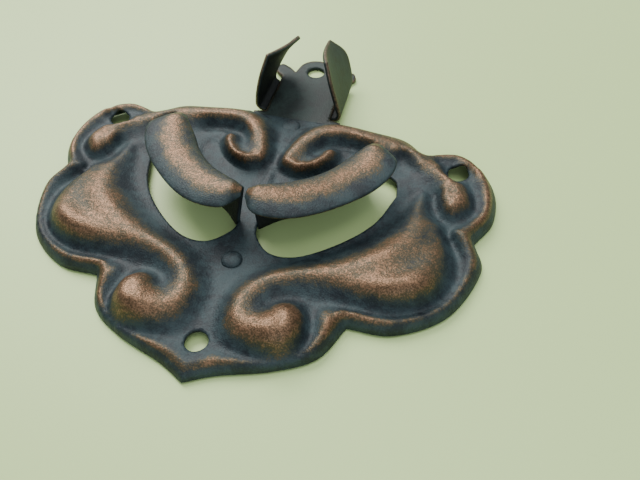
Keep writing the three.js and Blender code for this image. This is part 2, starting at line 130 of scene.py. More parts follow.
# The struck relief, right half: its crests and its valleys as x, y, z over the wall plane. The
# surface between them is the smoothest that passes through them all.
RELIEF_LINES = {
    "small lobe's rim bead": [
        (0, -31.9, 2.5), (4.5, -30.7, 2.6), (9.6, -30.0, 2.7), (14.2, -28.7, 2.8), (18.0, -26.8, 2.8),
        (20.0, -24.6, 2.9), (20.8, -22.2, 3.1), (20.4, -19.8, 3.6), (19.4, -18.0, 3.3)],
    "big lobe's rim bead": [
        (19.4, -18.0, 3.3), (22.9, -17.4, 3.4), (26.9, -17.3, 3.0), (32.0, -16.3, 2.9), (36.0, -14.3, 2.8),
        (39.0, -12.0, 2.8), (41.5, -8.6, 2.8), (42.6, -4.6, 2.8), (42.5, -0.7, 3.0), (40.9, 2.6, 3.3),
        (38.8, 5.4, 3.3)],
    "screw lobe's rim bead": [
        (38.8, 5.4, 3.3), (41.3, 6.9, 3.6), (43.4, 9.1, 3.5), (44.6, 12.5, 3.5), (44.3, 15.8, 3.7),
        (43.2, 18.9, 3.9), (41.3, 22.1, 4.1), (38.0, 24.7, 3.9), (34.5, 25.3, 3.7), (31.5, 24.6, 3.6)],
    "teardrop's crest, neck and spiral": [
        (31.9, 13.7, 2.9), (31.7, 9.4, 3.6), (31.2, 4.5, 4.6), (30.3, -0.8, 5.6), (28.5, -4.1, 6.0),
        (25.7, -5.8, 5.8), (22.2, -7.8, 5.3), (18.2, -9.7, 4.9), (14.1, -11.3, 4.6), (10.1, -13.0, 4.5),
        (7.5, -14.8, 4.5), (5.5, -16.9, 4.5), (4.4, -19.3, 4.5), (4.6, -22.0, 4.6), (6.3, -24.3, 4.9),
        (8.7, -25.0, 5.4)],
    "teardrop's back": [
        (34.0, 5.7, 4.3), (35.0, 0.1, 5.1), (33.5, -5.2, 5.6), (30.1, -8.3, 5.8), (25.2, -9.6, 5.6),
        (20.2, -11.3, 5.0)],
    "teardrop's shoulder": [
        (36.0, 5.4, 3.6), (37.6, -0.7, 4.2), (38.0, -5.2, 4.3), (37.0, -9.3, 4.4), (34.5, -11.8, 4.4),
        (30.0, -13.3, 4.4), (25.0, -13.2, 4.3), (20.0, -12.8, 4.0), (15.0, -12.9, 3.9), (10.9, -14.2, 4.0),
        (8.2, -16.4, 4.2), (7.2, -18.9, 4.5), (7.4, -21.2, 4.8)],
    "foot beside the slot": [
        (30.2, 13.7, 2.2), (28.9, 9.2, 2.2), (27.3, 5.6, 2.2), (24.8, 2.3, 2.2), (21.7, -0.5, 2.2),
        (18.7, -3.2, 2.2), (14.6, -6.0, 2.2), (10.5, -8.0, 2.2), (6.4, -10.3, 2.2), (3.4, -12.8, 2.2),
        (1.5, -15.9, 2.2), (0.9, -19.4, 2.2), (1.5, -23.0, 2.2)],
    "channel from the tooth to the spiral": [
        (34.5, 14.5, 2.5), (34.6, 11.5, 2.4), (36.3, 8.8, 2.3), (38.3, 5.6, 2.2), (40.1, 2.2, 2.0),
        (41.1, -1.9, 2.0), (40.9, -5.5, 2.0), (39.3, -9.2, 2.0), (37.0, -11.7, 2.0), (34.0, -13.6, 2.0),
        (29.9, -14.8, 2.1), (25.8, -15.0, 2.2), (21.7, -15.1, 2.3), (17.7, -15.0, 2.4), (14.6, -15.6, 2.4),
        (12.2, -16.4, 2.7), (10.6, -17.4, 3.1), (9.9, -19.0, 3.7), (9.8, -20.4, 4.5)],
    "valley round the spiral's eye": [
        (15.7, -17.0, 2.7), (17.5, -19.2, 2.6), (18.1, -21.8, 2.4), (18.3, -24.4, 2.3), (16.4, -26.9, 2.2),
        (12.4, -28.4, 2.2), (7.9, -28.4, 2.1), (4.2, -27.4, 2.1), (2.3, -25.4, 2.1)],
    "top of the spiral's eye": [(10.0, -23.6, 5.9), (11.8, -22.8, 6.2), (13.4, -22.6, 6.1)],
    "shoulder of the eye": [
        (11.2, -20.6, 5.1), (12.0, -19.0, 4.7), (13.6, -18.6, 4.8), (15.8, -19.8, 4.8), (16.6, -22.2, 4.6),
        (16.0, -24.6, 4.7), (13.6, -26.5, 4.4), (9.8, -26.9, 4.2), (6.0, -26.0, 3.8)],
    "valley round the tooth": [
        (39.4, 19.6, 3.0), (41.3, 17.2, 2.8), (42.1, 13.8, 2.7), (41.9, 10.8, 2.6), (40.3, 8.9, 2.5),
        (37.3, 8.3, 2.4), (35.4, 9.8, 2.4), (34.3, 12.4, 2.5)],
    "ridge from the scroll to the tooth": [
        (14.9, 27.3, 4.6), (18.6, 26.6, 4.6), (22.1, 26.0, 4.5), (25.0, 25.2, 4.4), (29.0, 23.2, 4.3),
        (33.0, 20.7, 4.3), (36.5, 17.8, 4.6), (38.2, 14.5, 5.0), (38.3, 11.4, 5.0), (37.8, 9.9, 4.4)],
    "tooth's left side": [(35.7, 12.6, 4.2), (35.4, 15.4, 4.2)],
    "tooth's right side": [(40.2, 14.0, 4.4), (40.3, 11.9, 4.3), (39.0, 10.1, 4.0)],
    "seat of the lobe's screw": [
        (33.6, 23.6, 3.1), (36.6, 24.0, 3.2), (35.0, 21.3, 3.2), (36.2, 19.3, 3.2), (38.4, 18.6, 3.1),
        (40.2, 19.6, 3.1), (40.8, 21.3, 3.2), (39.6, 23.6, 3.2)],
    "slope down to the slot's end": [
        (25.9, 23.7, 2.9), (28.4, 21.2, 2.9), (31.0, 18.3, 3.2), (33.0, 16.5, 3.0)],
    "foot at the slot's end": [(27.9, 18.0, 2.5), (30.4, 15.9, 2.6), (28.2, 14.7, 2.3)],
    "scroll's crest": [
        (14.9, 27.3, 4.6), (11.7, 27.5, 4.6), (8.7, 26.5, 4.6), (6.6, 24.6, 4.6), (5.1, 22.3, 4.5),
        (4.1, 19.5, 4.5), (3.5, 17.0, 4.4), (4.4, 15.0, 4.4), (6.9, 14.5, 4.4), (9.4, 16.3, 4.4),
        (11.1, 18.9, 4.2), (11.5, 21.1, 3.8)],
    "scroll's hollow": [
        (18.2, 24.3, 2.2), (15.0, 24.6, 2.2), (12.2, 24.8, 2.2), (10.0, 24.0, 2.3), (8.6, 22.6, 2.5),
        (7.9, 21.0, 2.8), (7.8, 19.4, 3.2)],
    "ground outside the curl": [
        (17.4, 22.4, 2.1), (13.8, 22.9, 2.2), (13.1, 19.9, 2.2), (11.3, 16.8, 2.2), (8.5, 14.5, 2.2),
        (4.9, 13.5, 2.2), (1.9, 14.8, 2.2)],
    "edge of the middle channel": [
        (10.1, 32.0, 2.1), (6.9, 31.2, 2.1), (4.1, 29.0, 2.1), (2.2, 26.0, 2.05), (1.3, 23.5, 2.0),
        (0.7, 20.0, 2.0)],
    "middle line above the bridge": [
        (0, 31.8, 2.0), (0, 15.0, 2.0), (0, 4.0, 2.0), (0, -4.0, 2.0), (0, -13.0, 2.1)],
    "middle line below the bridge": [(0, -13.0, 2.1), (0, -19.0, 2.1), (0, -25.0, 2.0), (0, -29.8, 2.0)],
    "slot's low edge": [(x, y, 2.1) for x, y in SLOT_LOW_EDGE],
    "slot's high edge": [(x, y, 2.0) for x, y in HOOD_ROOT],
}
LINE_STEP = 1.7                 # spacing of the points that hold the relief
BROAD_CRESTS = ("scroll's crest", "ridge from the scroll to the tooth")
CREST_HALF = 1.15               # these crests stay rounded over twice this width
CREST_DROP = 0.22
LINE_CLEAR = 0.35               # a point of a line nearer than this to an earlier one is left out
CREST_CLEAR = 1.0               # and a point beside a broad crest nearer than this
BORDER_EVERY = 4                # one point in so many of the outline holds the border
CENTRE_BAND = 0.3               # points this near the centre line have no mirror image
STRAP_MOUTH = (11, 26)          # half width and lowest y of the stretch where the strap leaves
MOUTH_FADE = (2, 3)
FEATHER_Z = 1.25                # there the plate's top edge is dressed down to the strap
FEATHER_Y = (26.5, 31.6)
FEATHER_LOW = 0.5               # only where the plate is no higher than this over its ground
FEATHER_FADE = 0.4
OVER_STRAP = 1.1                # lowest that the sheet's back comes where it lies on the strap
THINNEST = 0.05                 # least thickness left where the back is held up by what is under it
EDGE_BULGE = 0.12               # how far a cut edge stands out at its middle, as a share of gauge
BACK_WORN = 0.25                # wear of the back against the face over it


def with_end_points(points):
    """Rows of any width, and the same with one more row run on past each end."""
    rows = np.array(points, float)
    return rows, np.vstack([2 * rows[0] - rows[1], rows, 2 * rows[-1] - rows[-2]])


def curve_between(a, b, c, d, t):
    """Catmull-Rom curve from b to c, with a and d as its neighbours, at the share t of the way."""
    return 0.5 * (2 * b + (c - a) * t + (2 * a - 5 * b + 4 * c - d) * t ** 2
                  + (3 * b - a - 3 * c + d) * t ** 3)


def smooth_curve(points, step):
    """The curve through the rows, with a point about every step of its length in plan."""
    rows, padded = with_end_points(points)
    curve = []
    for i in range(len(rows) - 1):
        a, b, c, d = padded[i:i + 4]
        count = max(2, int(round(np.linalg.norm((c - b)[:2]) / step)))
        curve += [curve_between(a, b, c, d, t) for t in np.arange(count) / count]
    curve.append(rows[-1])
    return np.array(curve)


def mirrored_loop(half):
    """Closes a half outline that starts and ends on the centre line with its mirror image."""
    left = [(-x, y) for x, y in half if x > 1e-6][::-1]
    return np.array([(x, y) for x, y in half] + left)


def circle_loop(x, y, radius, count=40):
    """A round hole's edge."""
    angles = np.arange(count) / count * 2 * math.pi
    return np.column_stack([x + radius * np.cos(angles), y + radius * np.sin(angles)])


outline_half = []
for arc in (SMALL_LOBE, BIG_LOBE, SCREW_LOBE, TOP_EDGE):
    outline_half += [tuple(p) for p in smooth_curve(arc, MESH_STEP)[:-1]]
outline_half.append((0, TOP_EDGE[-1][1]))
PLATE_OUTLINE = mirrored_loop(outline_half)

slot_loop = np.vstack([
    smooth_curve(SLOT_LOW_EDGE, MESH_STEP)[:-1],
    smooth_curve(SLOT_OUTER_END, MESH_STEP)[:-1],
    smooth_curve(HOOD_ROOT, MESH_STEP)[:0:-1],
])
MIRROR = np.array([-1, 1])


def inside_loop(points, loop):
    """Even-odd test of many points against one closed loop."""
    inside = np.zeros(len(points), bool)
    x, y = points[:, 0], points[:, 1]
    for (ax, ay), (bx, by) in zip(loop, np.roll(loop, -1, axis=0)):
        if ay != by:
            inside ^= ((ay > y) != (by > y)) & (x < (bx - ax) * (y - ay) / (by - ay) + ax)
    return inside


def loop_distance(points, loop):
    """Distance from many points to a closed loop."""
    nearest = np.full(len(points), np.inf)
    for a, b in zip(loop, np.roll(loop, -1, axis=0)):
        along = b - a
        share = np.clip(((points - a) @ along) / max(along @ along, 1e-12), 0, 1)
        nearest = np.minimum(nearest, np.linalg.norm(points - a - share[:, None] * along, axis=1))
    return nearest


def mouth_share(points):
    """One where the plate lies on the strap as it leaves, nought elsewhere."""
    across = np.clip((STRAP_MOUTH[0] - np.abs(points[:, 0])) / MOUTH_FADE[0] + 1, 0, 1)
    return across * np.clip((points[:, 1] - STRAP_MOUTH[1]) / MOUTH_FADE[1], 0, 1)


def beside(line, offset, drop):
    """The line moved sideways in plan and lowered."""
    along = np.gradient(line[:, :2], axis=0)
    along /= np.linalg.norm(along, axis=1, keepdims=True)
    lowered = np.full(len(line), -drop)
    return line + np.column_stack([along[:, 1] * offset, -along[:, 0] * offset, lowered])


def relief_controls():
    """Points that hold the relief: its lines, the border, and a row on each side of the broad
    crests, all with their mirror images and none crowding another."""
    held = [smooth_curve(line, LINE_STEP) for line in RELIEF_LINES.values()]
    border = PLATE_OUTLINE[PLATE_OUTLINE[:, 0] >= 0][::BORDER_EVERY]
    border_z = np.where(mouth_share(border) > 0.5, GROUND, RIM_Z)
    held.append(np.column_stack([border, border_z]))
    sides = []
    for name in BROAD_CRESTS:
        crest = smooth_curve(RELIEF_LINES[name], LINE_STEP)
        sides += [beside(crest, side * CREST_HALF, CREST_DROP) for side in (-1, 1)]
    kept = []
    for rows, clear in ((np.vstack(held), LINE_CLEAR), (np.vstack(sides), CREST_CLEAR)):
        for row in np.vstack([rows, rows[rows[:, 0] > CENTRE_BAND] * (-1, 1, 1)]):
            if not kept or np.min(np.linalg.norm(np.array(kept)[:, :2] - row[:2], axis=1)) > clear:
                kept.append(row)
    return np.array(kept)


def plate_spline(controls, stiffness=0.02, batch=4000):
    """The smoothest surface close to the controls, as a function of plan points."""
    centres = controls[:, :2]

    def bowl(a, b):
        square = ((a[:, None, :] - b[None, :, :]) ** 2).sum(2)
        return 0.5 * square * np.log(np.maximum(square, 1e-12))

    count = len(centres)
    system = np.zeros((count + 3, count + 3))
    system[:count, :count] = bowl(centres, centres) + stiffness * np.eye(count)
    system[:count, count:] = np.column_stack([np.ones(count), centres])
    system[count:, :count] = system[:count, count:].T
    weights = np.linalg.solve(system, np.concatenate([controls[:, 2], np.zeros(3)]))

    def height(points):
        parts = []
        for first in range(0, len(points), batch):
            some = points[first:first + batch]
            slope = weights[count] + some @ weights[count + 1:]
            parts.append(bowl(some, centres) @ weights[:count] + slope)
        return np.concatenate(parts)
    return height


struck_surface = plate_spline(relief_controls())


def plate_height(points):
    """Top of the plate: the relief, turned down round its border and dressed down at the mouth."""
    inside = inside_loop(points, PLATE_OUTLINE)
    mouth = mouth_share(points)
    edge = np.where(inside, loop_distance(points, PLATE_OUTLINE), 0) + mouth * EDGE_RUN
    wall = np.sqrt(1 - (1 - np.clip(edge / EDGE_RUN, 0, 1)) ** 2)
    surface = np.maximum(struck_surface(points), RIM_Z)
    low = np.clip((GROUND + FEATHER_LOW - surface) / FEATHER_FADE, 0, 1) * mouth
    t = np.clip((points[:, 1] - FEATHER_Y[0]) / (FEATHER_Y[1] - FEATHER_Y[0]), 0, 1)
    surface = surface - (surface - FEATHER_Z) * low * t * t * (3 - 2 * t)
    return EDGE_Z + (surface - EDGE_Z) * wall


def triangulate(loops, step):
    """Fine triangles over the area inside the first loop and outside the others."""
    row_share = 0.87                # rows of an equilateral grid
    clear_share = 0.55              # no grid point nearer than this to a loop
    outer = loops[0]
    low, high = outer.min(0), outer.max(0)
    rows = []
    for i, y in enumerate(np.arange(low[1], high[1], step * row_share)):
        xs = np.arange(low[0], high[0], step) + (i % 2) * step / 2
        rows.append(np.column_stack([xs, np.full(len(xs), y)]))
    grid = np.vstack(rows)
    keep = inside_loop(grid, outer)
    for hole in loops[1:]:
        keep &= ~inside_loop(grid, hole)
    grid = grid[keep]
    clear = np.ones(len(grid), bool)
    for loop in loops:
        clear &= loop_distance(grid, loop) > step * clear_share
    grid = grid[clear]
    points, edges = [], []
    for loop in loops:
        first = len(points)
        points += [Vector(p) for p in loop]
        edges += [(first + i, first + (i + 1) % len(loop)) for i in range(len(loop))]
    points += [Vector(p) for p in grid]
    made = delaunay_2d_cdt(points, edges, [], 0, 1e-6)
    plan = np.array([tuple(p) for p in made[0]])
    faces = np.array(made[2])
    middle = plan[faces].mean(1)
    keep = inside_loop(middle, outer)
    for hole in loops[1:]:
        keep &= ~inside_loop(middle, hole)
    faces = faces[keep]
    a, b, c = plan[faces[:, 0]], plan[faces[:, 1]], plan[faces[:, 2]]
    area = (b - a)[:, 0] * (c - a)[:, 1] - (b - a)[:, 1] * (c - a)[:, 0]
    faces[area < 0] = faces[area < 0][:, ::-1]
    used = np.unique(faces)
    place = np.full(len(plan), -1)
    place[used] = np.arange(len(used))
    return plan[used], place[faces]


def vertex_normals(places, faces):
    a, b, c = places[faces[:, 0]], places[faces[:, 1]], places[faces[:, 2]]
    across = np.cross(b - a, c - a)
    normals = np.zeros_like(places)
    for corner in range(3):
        np.add.at(normals, faces[:, corner], across)
    return normals / np.linalg.norm(normals, axis=1, keepdims=True)


def closed_sheet(name, outer, inner, faces, guide, normals, bulge, wear_and_painted_light):
    """Joins two matching surfaces into one closed sheet whose cut edges bulge a little. The guide
    and the normals say which way is out of the sheet at an edge. The wear of the outer surface,
    the inner one and the edge, with the painted light and shade that it also carries, is kept on the
    points."""
    directed = np.vstack([faces[:, [0, 1]], faces[:, [1, 2]], faces[:, [2, 0]]])
    known = set(map(tuple, directed))
    rim = [(a, b) for a, b in known if (b, a) not in known]
    rim_points = sorted({a for a, b in rim})
    push = np.zeros((len(outer), 3))
    for a, b in rim:
        side = np.cross(guide[b] - guide[a], (normals[a] + normals[b]) / 2)
        push[a] += side
        push[b] += side
    push = push[rim_points]
    push /= np.maximum(np.linalg.norm(push, axis=1, keepdims=True), 1e-9)
    ridge = (outer[rim_points] + inner[rim_points]) / 2 + push * bulge
    count = len(outer)
    ridge_of = {p: 2 * count + i for i, p in enumerate(rim_points)}
    polygons = [tuple(f) for f in faces] + [(c + count, b + count, a + count) for a, b, c in faces]
    for a, b in rim:
        polygons.append((a, ridge_of[a], ridge_of[b], b))
        polygons.append((ridge_of[a], a + count, b + count, ridge_of[b]))
    places = np.vstack([outer, inner, ridge])
    mesh = bpy.data.meshes.new(name)
    mesh.from_pydata((places * MM).tolist(), [], [tuple(int(i) for i in p) for p in polygons])
    mesh.validate()
    mesh.polygons.foreach_set("use_smooth", np.ones(len(mesh.polygons), bool))
    outer_wear_and_light, inner_wear_and_light, edge_wear_and_light = wear_and_painted_light
    values = np.concatenate([outer_wear_and_light, inner_wear_and_light, edge_wear_and_light[rim_points]]).astype(np.float32)
    mesh.attributes.new("wear_and_painted_light", "FLOAT", "POINT").data.foreach_set("value", values)
    piece = bpy.data.objects.new(name, mesh)
    bpy.context.scene.collection.objects.link(piece)
    return piece


def pressed_sheet(name, top, faces, gauge, wear_and_painted_light, floor_z=0.0):
    """A closed sheet under the given top surface, its back no lower than the floor."""
    back = top - vertex_normals(top, faces) * gauge
    back[:, 2] = np.minimum(np.maximum(back[:, 2], floor_z), top[:, 2] - THINNEST)
    upright = np.tile((0.0, 0.0, 1.0), (len(top), 1))
    return closed_sheet(name, top, back, faces, top, upright, gauge * EDGE_BULGE,
                        (wear_and_painted_light, wear_and_painted_light * BACK_WORN, wear_and_painted_light))


def prominence(points, height, spread):
    """How far each point stands over the average of its surroundings."""
    cell = 0.5
    margin = 8
    low = points.min(0) - margin
    size = np.ceil((points.max(0) + margin - low) / cell).astype(int) + 1
    xs = low[0] + np.arange(size[0]) * cell
    ys = low[1] + np.arange(size[1]) * cell
    mesh_x, mesh_y = np.meshgrid(xs, ys, indexing="ij")
    field = height(np.column_stack([mesh_x.ravel(), mesh_y.ravel()])).reshape(mesh_x.shape)
    reach = int(3 * spread / cell)
    kernel = np.exp(-0.5 * (np.arange(-reach, reach + 1) * cell / spread) ** 2)
    kernel /= kernel.sum()
    blurred = np.apply_along_axis(lambda row: np.convolve(row, kernel, "same"), 0, field)
    blurred = np.apply_along_axis(lambda row: np.convolve(row, kernel, "same"), 1, blurred)
    share = (points - low) / cell
    corner = np.floor(share).astype(int)
    fx, fy = (share - corner).T
    i, j = corner.T
    average = (blurred[i, j] * (1 - fx) * (1 - fy) + blurred[i + 1, j] * fx * (1 - fy)
               + blurred[i, j + 1] * (1 - fx) * fy + blurred[i + 1, j + 1] * fx * fy)
    return height(points) - average


rivet_holes = [circle_loop(0, y, RIVET_HOLE_R, RIVET_HOLE_SIDES) for y in (LOWER_RIVET_Y, UPPER_RIVET_Y)]
plate_loops = [
    PLATE_OUTLINE, slot_loop, (slot_loop * MIRROR)[::-1],
    circle_loop(*LOBE_SCREW, SCREW_R), circle_loop(-LOBE_SCREW[0], LOBE_SCREW[1], SCREW_R),
    circle_loop(*TIP_SCREW, SCREW_R), *rivet_holes,
]
plan, plan_faces = triangulate(plate_loops, MESH_STEP)
plate_z = plate_height(plan)

WORN_LEAST = 0.02               # share of rubbed metal on the ground
WORN_BY_HEIGHT = 0.14           # what a millimetre over the ground adds to it
WORN_BY_PROUD = 0.24            # what a millimetre over the surroundings adds
SURROUNDINGS = 2.2              # how far those reach
RIM_WORN = 0.34                 # what the rim bead adds, and where, in from the cut edge
RIM_WORN_PLACE = 1.4
RIM_WORN_HALF = 1.05
WORN_MOST = 0.85
EDGE_DARK = 0.1                 # the cut edge stays dark this far in, then brightens over the fade
EDGE_DARK_FADE = 1.1
MOUTH_INSET = 3                 # at the strap's mouth the edge is dressed down, so it isn't darkened
BIG_LOBE_PAINTED_SHADE = 0.22            # share of wear that the big lobe lacks beyond its inner x, a painted shade
BIG_LOBE_X = (27, 35)
BIG_LOBE_TOP = 8
plate_edge = loop_distance(plan, PLATE_OUTLINE)
plate_mouth = mouth_share(plan)
plate_proud = prominence(plan, lambda p: np.maximum(struck_surface(p), RIM_Z), SURROUNDINGS)
plate_wear_and_painted_shade = WORN_BY_HEIGHT * (plate_z - GROUND) + WORN_BY_PROUD * plate_proud + WORN_LEAST
on_border = np.clip(1 - plate_mouth * 2, 0, 1)
plate_wear_and_painted_shade += RIM_WORN * on_border * np.exp(-((plate_edge - RIM_WORN_PLACE) / RIM_WORN_HALF) ** 2)
past_edge = np.clip((plate_edge + plate_mouth * MOUTH_INSET - EDGE_DARK) / EDGE_DARK_FADE, 0, 1)
plate_wear_and_painted_shade = np.clip(plate_wear_and_painted_shade, 0, WORN_MOST) * past_edge
# Painted shade: the big lobes are left less rubbed, so darker, beyond their inner x and below their top.
lobe_shade_share = np.clip((np.abs(plan[:, 0]) - BIG_LOBE_X[0]) / (BIG_LOBE_X[1] - BIG_LOBE_X[0]), 0, 1)
plate_wear_and_painted_shade *= 1 - BIG_LOBE_PAINTED_SHADE * lobe_shade_share * (plan[:, 1] < BIG_LOBE_TOP)
face_plate = pressed_sheet("struck_face_plate", np.column_stack([plan, plate_z]), plan_faces, SHEET,
                           plate_wear_and_painted_shade, plate_mouth * OVER_STRAP)


# The oxidised finish. The grain group gives the fine tooth of the struck metal as a height and
# a speckle; the rub group turns the worn share into a mask with ragged, speckled borders.
GRAINS_PER_METRE = 3200.0
COARSE_GRAINS = 0.32            # coarse grains against fine ones in the same length
COARSE_HEIGHT = 0.8             # and the coarse grain's share in the height and in the speckle
COARSE_SPECKLE = 0.5
SPECKLE_BAND = (0.58, 0.98)     # of the summed grain, from nothing to a full speckle
MOTTLE_PER_METRE = 230.0        # broad patches of patina
RUB_SPECKLE = 0.22              # how far the speckle and the mottle shift the worn share
RUB_MOTTLE = 0.9
RUB_BAND = (0.02, 0.85)         # of the shifted share, from no rubbed metal to all


def node_group(name, inputs, outputs):
    group = bpy.data.node_groups.new(name, "ShaderNodeTree")
    for label, kind, value in inputs:
        socket = group.interface.new_socket(label, in_out="INPUT", socket_type=kind)
        if value is not None:
            socket.default_value = value
    for label, kind in outputs:
        group.interface.new_socket(label, in_out="OUTPUT", socket_type=kind)
    return group, group.nodes.new("NodeGroupInput"), group.nodes.new("NodeGroupOutput")


def add_node(tree, kind, links=(), **settings):
    node = tree.nodes.new(kind)
    for key, value in settings.items():
        setattr(node, key, value)
    for socket, source in links:
        if isinstance(source, bpy.types.NodeSocket):
            tree.links.new(source, node.inputs[socket])
        else:
            node.inputs[socket].default_value = source
    return node


def add_noise(tree, vector, scale, detail, roughness):
    node = add_node(tree, "ShaderNodeTexNoise", [("Vector", vector), ("Scale", scale)])
    node.inputs["Detail"].default_value = detail
    node.inputs["Roughness"].default_value = roughness
    return node.outputs["Fac"]


def add_math(tree, operation, a, b):
    return add_node(tree, "ShaderNodeMath", [(0, a), (1, b)], operation=operation).outputs[0]


def add_range(tree, value, low, high, to_low=0.0, to_high=1.0):
    node = add_node(tree, "ShaderNodeMapRange", [("Value", value), ("From Min", low), ("From Max", high),
                                                 ("To Min", to_low), ("To Max", to_high)])
    node.interpolation_type = "SMOOTHSTEP"
    return node.outputs["Result"]


def add_mix(tree, factor, a, b):
    node = tree.nodes.new("ShaderNodeMix")
    node.data_type = "RGBA"
    for index, source in ((0, factor), (6, a), (7, b)):
        if isinstance(source, bpy.types.NodeSocket):
            tree.links.new(source, node.inputs[index])
        elif index == 0:
            node.inputs[index].default_value = source
        else:
            node.inputs[index].default_value = (*source, 1)
    return node.outputs[2]


grain_group, grain_in, grain_out = node_group(
    "struck_grain",
    [("Vector", "NodeSocketVector", None), ("Grains per metre", "NodeSocketFloat", GRAINS_PER_METRE)],
    [("Height", "NodeSocketFloat"), ("Speckle", "NodeSocketFloat"), ("Mottle", "NodeSocketFloat")])
metal_place = grain_in.outputs["Vector"]
grain_scale = grain_in.outputs["Grains per metre"]
fine = add_noise(grain_group, metal_place, grain_scale, detail=2.0, roughness=0.6)
coarse_scale = add_math(grain_group, "MULTIPLY", grain_scale, COARSE_GRAINS)
coarse = add_noise(grain_group, metal_place, coarse_scale, detail=3.0, roughness=0.55)
broad = add_noise(grain_group, metal_place, MOTTLE_PER_METRE, detail=6.0, roughness=0.68)
for label, share in (("Height", COARSE_HEIGHT), ("Speckle", COARSE_SPECKLE)):
    summed = add_math(grain_group, "ADD", fine, add_math(grain_group, "MULTIPLY", coarse, share))
    if label == "Speckle":
        summed = add_range(grain_group, summed, *SPECKLE_BAND)
    grain_group.links.new(summed, grain_out.inputs[label])
grain_group.links.new(broad, grain_out.inputs["Mottle"])

rub_group, rub_in, rub_out = node_group(
    "rubbed_share",
    [(label, "NodeSocketFloat", 0.5) for label in ("Worn", "Speckle", "Mottle", "Ragged")],
    [("Mask", "NodeSocketFloat")])
speckle_off = add_math(rub_group, "SUBTRACT", rub_in.outputs["Speckle"], 0.5)
mottle_off = add_math(rub_group, "SUBTRACT", rub_in.outputs["Mottle"], 0.5)
unevenness = add_math(rub_group, "ADD", add_math(rub_group, "MULTIPLY", speckle_off, RUB_SPECKLE),
                      add_math(rub_group, "MULTIPLY", mottle_off, RUB_MOTTLE))
ragged_shift = add_math(rub_group, "MULTIPLY", unevenness, rub_in.outputs["Ragged"])
shifted = add_math(rub_group, "ADD", rub_in.outputs["Worn"], ragged_shift)
rub_group.links.new(add_range(rub_group, shifted, *RUB_BAND), rub_out.inputs["Mask"])

PATINA_BAND = (0.40, 0.68)      # of the mottle, from the deep colour to the patina
DUSTY_SPECKLE = 0.10            # what the speckle adds to that mottle
SHADE_BAND = (-0.5, 0.0)        # of the worn share: below nought the metal turns near black, a painted shade
SHADE_SHARE = 0.25              # of the deep colour
OLIVE_BAND = (0.08, 0.55)       # of the rubbed mask, from the patina to olive, then to bare metal
BARE_BAND = (0.35, 0.95)
ROUGH_MOTTLE = 0.25             # how far the mottle shifts the roughness
GRAIN_DEPTH = 0.00012           # of the struck metal's tooth, in metres


def oxidised_metal(name, bare, bright, olive, patina, deep, ragged, metal, rough, tooth):
    """Copper under a dark patina: deep in the hollows, olive where it thins, bare where the attribute
    of wear and painted light says it is rubbed, and near black, a painted shade, where that is below
    nought."""
    material = bpy.data.materials.new(name)
    material.use_nodes = True
    tree = material.node_tree
    shader = tree.nodes["Principled BSDF"]
    coordinates = tree.nodes.new("ShaderNodeTexCoord").outputs["Object"]
    wear_and_painted_light = add_node(tree, "ShaderNodeAttribute", attribute_name="wear_and_painted_light").outputs["Fac"]
    grain = add_node(tree, "ShaderNodeGroup", node_tree=grain_group)
    tree.links.new(coordinates, grain.inputs["Vector"])
    rub = add_node(tree, "ShaderNodeGroup", node_tree=rub_group)
    tree.links.new(wear_and_painted_light, rub.inputs["Worn"])
    tree.links.new(grain.outputs["Speckle"], rub.inputs["Speckle"])
    tree.links.new(grain.outputs["Mottle"], rub.inputs["Mottle"])
    rub.inputs["Ragged"].default_value = ragged
    mask = rub.outputs["Mask"]
    dust = add_math(tree, "MULTIPLY", grain.outputs["Speckle"], DUSTY_SPECKLE)
    dusty = add_math(tree, "ADD", grain.outputs["Mottle"], dust)
    tarnish = add_mix(tree, add_range(tree, dusty, *PATINA_BAND), deep, patina)
    # Painted shade: where the worn value is below nought, on hood undersides and prong insides, the tarnish
    # turns near black.
    painted_shade_black = tuple(c * SHADE_SHARE for c in deep)
    tarnish_with_painted_shade = add_mix(tree, add_range(tree, wear_and_painted_light, *SHADE_BAND), painted_shade_black, tarnish)
    thinning = add_mix(tree, add_range(tree, mask, *OLIVE_BAND), tarnish_with_painted_shade, olive)
    rubbed = add_mix(tree, grain.outputs["Speckle"], bare, bright)
    colour = add_mix(tree, add_range(tree, mask, *BARE_BAND), thinning, rubbed)
    tree.links.new(colour, shader.inputs["Base Color"])
    tree.links.new(add_range(tree, mask, 0.0, 1.0, *metal), shader.inputs["Metallic"])
    mottle_off = add_math(tree, "SUBTRACT", grain.outputs["Mottle"], 0.5)
    roughness = add_math(tree, "ADD", add_range(tree, mask, 0.0, 1.0, *rough),
                         add_math(tree, "MULTIPLY", mottle_off, ROUGH_MOTTLE))
    tree.links.new(roughness, shader.inputs["Roughness"])
    bump = add_node(tree, "ShaderNodeBump", [("Height", grain.outputs["Height"]), ("Strength", tooth),
                                             ("Distance", GRAIN_DEPTH)])
    tree.links.new(bump.outputs["Normal"], shader.inputs["Normal"])
    return material


COPPER = oxidised_metal(
    "oxidised_copper", bare=(0.078, 0.047, 0.023), bright=(0.23, 0.128, 0.070),
    olive=(0.050, 0.043, 0.020), patina=(0.024, 0.045, 0.050), deep=(0.005, 0.011, 0.015),
    ragged=0.85, metal=(0.2, 0.65), rough=(0.58, 0.38), tooth=0.75)
face_plate.data.materials.append(COPPER)
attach(face_plate, "plate")
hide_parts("face_plate")

